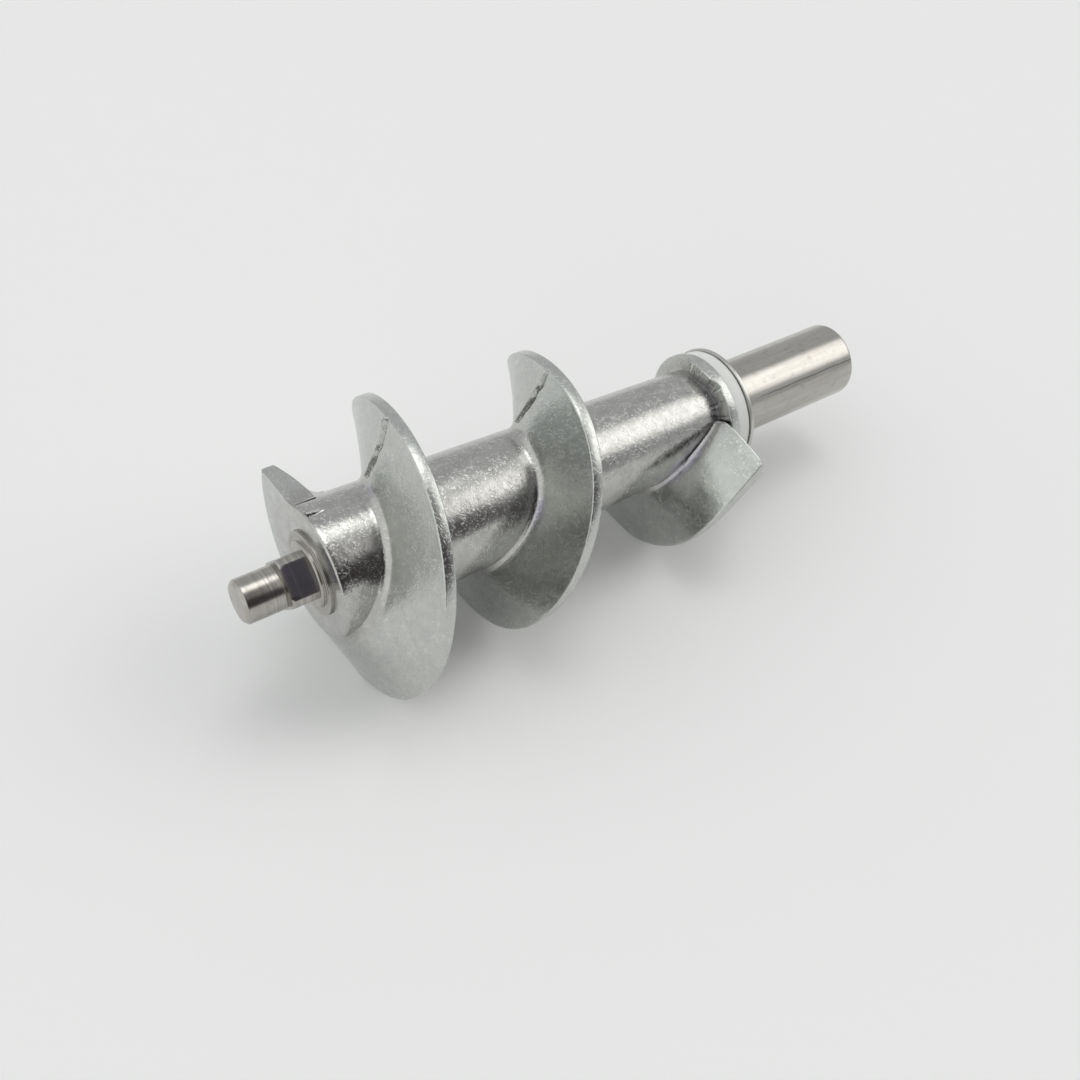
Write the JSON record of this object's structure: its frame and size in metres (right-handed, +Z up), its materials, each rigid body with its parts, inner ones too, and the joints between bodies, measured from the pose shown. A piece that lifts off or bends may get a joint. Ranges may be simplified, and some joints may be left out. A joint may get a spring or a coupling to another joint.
{
  "type": "meat grinder auger",
  "caption": "Tapered left-hand feed screw of a household meat grinder, with a front pin and square for the knife, thrust washers at its collar and a round drive tail.",
  "frame": {"origin": "middle of the resting auger's box, on the surface it lies on", "axes": "+X towards the drive tail, along the auger as it lies (its own axis dips 3.5 degrees towards the tail), +Z up, +Y to the left of +X"},
  "size_m": [0.1378, 0.0512, 0.0514],
  "materials": {
    "zinc_plate": "bright zinc plate over a lightly pebbled casting",
    "turned_steel": "plated, with fine turning lines",
    "white_plastic": "smooth, slightly translucent white",
    "washer_steel": "stamped, bright"
  },
  "bodies": {
    "root": {"cast_screw": "zinc_plate", "drive_shaft": "turned_steel", "plastic_washer": "white_plastic", "steel_washer": "washer_steel"}
  },
  "joints": []
}
